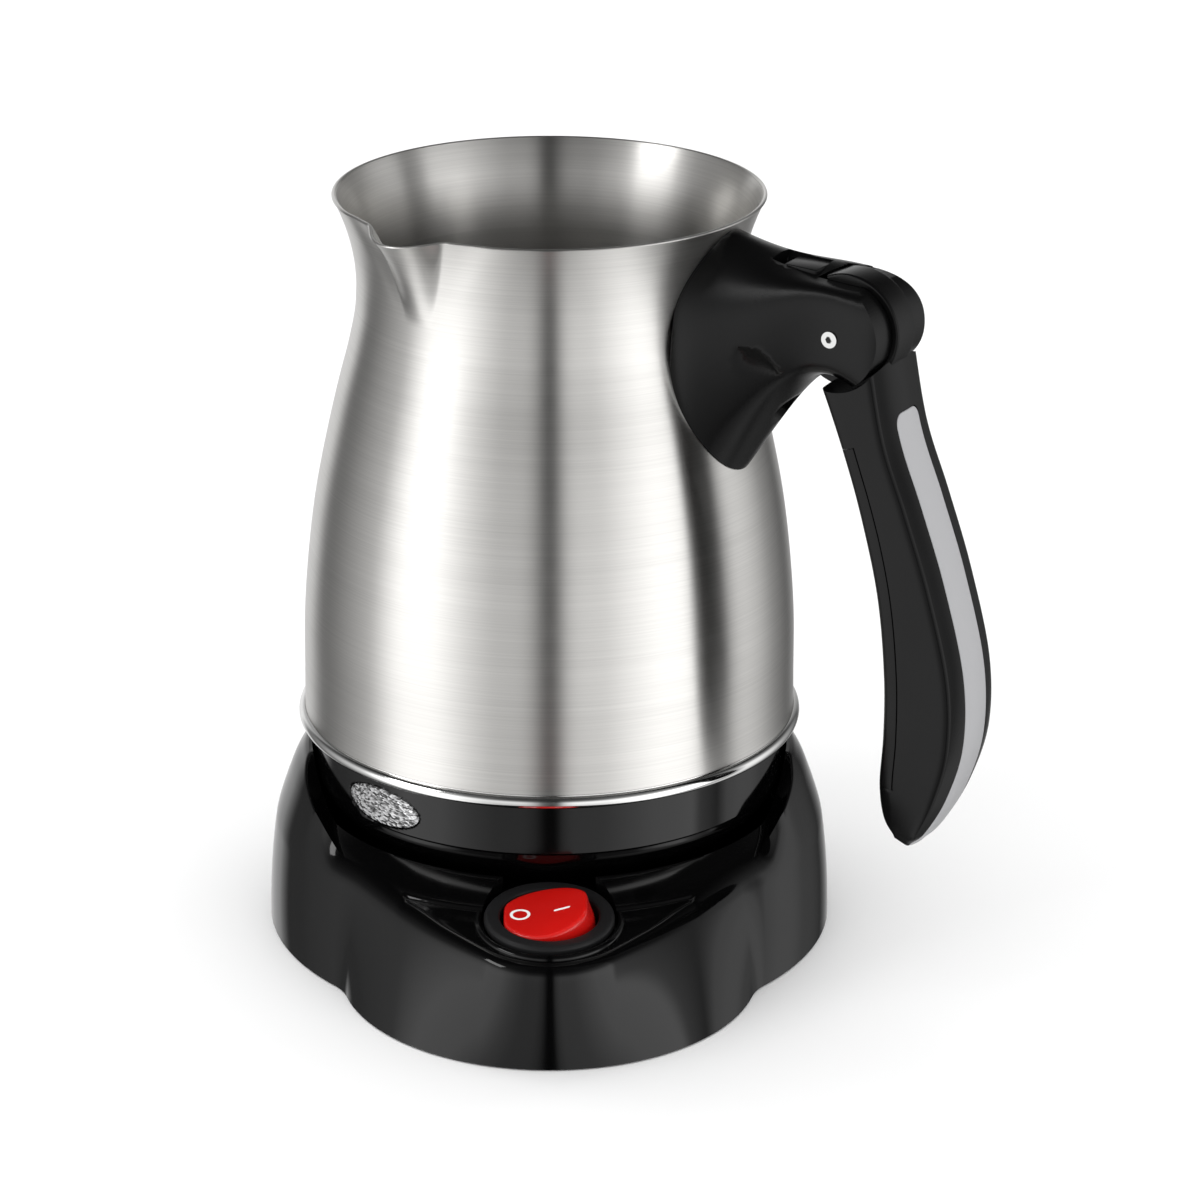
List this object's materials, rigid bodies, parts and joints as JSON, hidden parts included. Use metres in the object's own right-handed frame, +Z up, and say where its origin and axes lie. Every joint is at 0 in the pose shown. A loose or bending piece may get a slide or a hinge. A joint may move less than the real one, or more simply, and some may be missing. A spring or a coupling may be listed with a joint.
{
  "type": "electric turkish coffee maker",
  "caption": "Steel coffee pot with a spout and a folding hanging grip, on a powered base with a round rocker switch.",
  "frame": {"origin": "on the floor, under the upright axis of the pot and the coupler", "axes": "+Z up along the pot's axis; +X from the pot to its grip; the base is turned so that its switch faces 58 degrees round from +X towards -Y"},
  "size_m": [0.1462, 0.1213, 0.1453],
  "materials": {
    "gloss_black": "gloss moulded",
    "matt_black": "matt moulded",
    "satin_black": "satin moulded",
    "bezel_black": "satin moulded",
    "rocker_red": "gloss moulded",
    "feet_rubber": "matt",
    "gland_rubber": "matt",
    "seal_silicone": "matt",
    "ring_nylon": "smooth",
    "zinc_screw": "zinc plated",
    "contact_brass": "bright",
    "brushed_pot": "brushed round",
    "polished_bead": "polished",
    "plate_aluminium": "machined",
    "element_steel": "drawn",
    "thermostat_steel": "stamped",
    "clear_lens": "prismatic",
    "lamp_glass": "clear",
    "bracket_steel": "stamped",
    "pin_chrome": "polished",
    "spring_steel": "drawn",
    "inlay_grey": "satin"
  },
  "bodies": {
    "base": {"base_housing": "gloss_black", "base_bottom_cover": "matt_black", "rubber_feet": "feet_rubber", "bottom_cover_screws": "zinc_screw", "coupler_socket": "matt_black", "coupler_contacts": "contact_brass", "coupler_screws": "zinc_screw", "switch_body": "bezel_black", "switch_terminals": "contact_brass", "cord_gland": "gland_rubber", "cord_clamp": "matt_black", "cord_clamp_screws": "zinc_screw"},
    "rocker": {"rocker": "rocker_red"},
    "turn_ring": {"turn_ring": "ring_nylon"},
    "pot": {"pot_shell": "brushed_pot", "bead_ring": "polished_bead", "heater_skirt": "gloss_black", "skirt_gasket": "seal_silicone", "heating_plate": "plate_aluminium", "heating_element": "element_steel", "element_terminals": "element_steel", "thermostat": "thermostat_steel", "thermal_fuse": "thermostat_steel", "skirt_screws": "zinc_screw", "pot_connector": "matt_black", "connector_contacts": "contact_brass", "indicator_lens": "clear_lens", "indicator_lamp": "lamp_glass", "handle_bracket": "satin_black", "bracket_plate": "bracket_steel", "bracket_screw": "zinc_screw", "hinge_pin": "pin_chrome", "pin_nut": "zinc_screw", "latch_spring": "spring_steel"},
    "latch": {"release_latch": "satin_black"},
    "grip": {"grip_body": "satin_black", "grip_inner_cover": "satin_black", "grip_inlay": "inlay_grey", "grip_screws": "zinc_screw", "hinge_bush": "contact_brass"}
  },
  "joints": [
    {"name": "rocker_tilt", "type": "hinge", "parent": "base", "child": "rocker", "pos_m": [0.02857, -0.04572, 0.0209], "axis": [-0.5279, 0.8448, 0.0872], "range_deg": [0, 22]},
    {"name": "pot_swivel", "type": "hinge", "parent": "base", "child": "turn_ring", "pos_m": [0, 0, 0], "axis": [0, 0, 1], "continuous": true},
    {"name": "pot_lift", "type": "slide", "parent": "turn_ring", "child": "pot", "axis": [0, 0, 1], "range_m": [0, 0.08]},
    {"name": "grip_fold", "type": "hinge", "parent": "pot", "child": "grip", "pos_m": [0.0639, 0, 0.1295], "axis": [0, -1, 0], "range_deg": [0, 90]},
    {"name": "latch_slide", "type": "slide", "parent": "pot", "child": "latch", "axis": [-1, 0, 0], "range_m": [0, 0.0018], "stiffness_N_per_m": 600, "springref_m": -0.002, "deforming": ["latch_spring"]}
  ]
}
